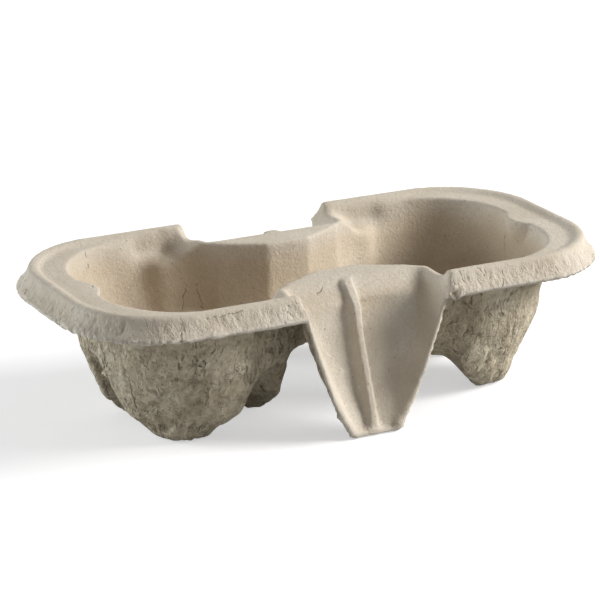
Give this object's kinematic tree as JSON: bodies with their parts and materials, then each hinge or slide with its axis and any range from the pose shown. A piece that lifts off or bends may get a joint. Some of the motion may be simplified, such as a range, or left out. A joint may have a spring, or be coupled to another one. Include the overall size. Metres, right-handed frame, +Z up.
{
  "type": "moulded pulp cup carrier",
  "caption": "Moulded pulp tray that carries takeaway cups in round wells, with a flared rim, a joining channel and finger valleys on its long sides.",
  "frame": {"origin": "on the table, under the middle of the tray", "axes": "+X along the tray through both wells, +Y across it, +Z up"},
  "size_m": [0.2168, 0.1068, 0.057],
  "materials": {
    "pulp": "matt moulded paper pulp, smooth above and wrinkled below"
  },
  "bodies": {
    "root": {"carrier_tray": "pulp"}
  },
  "joints": []
}
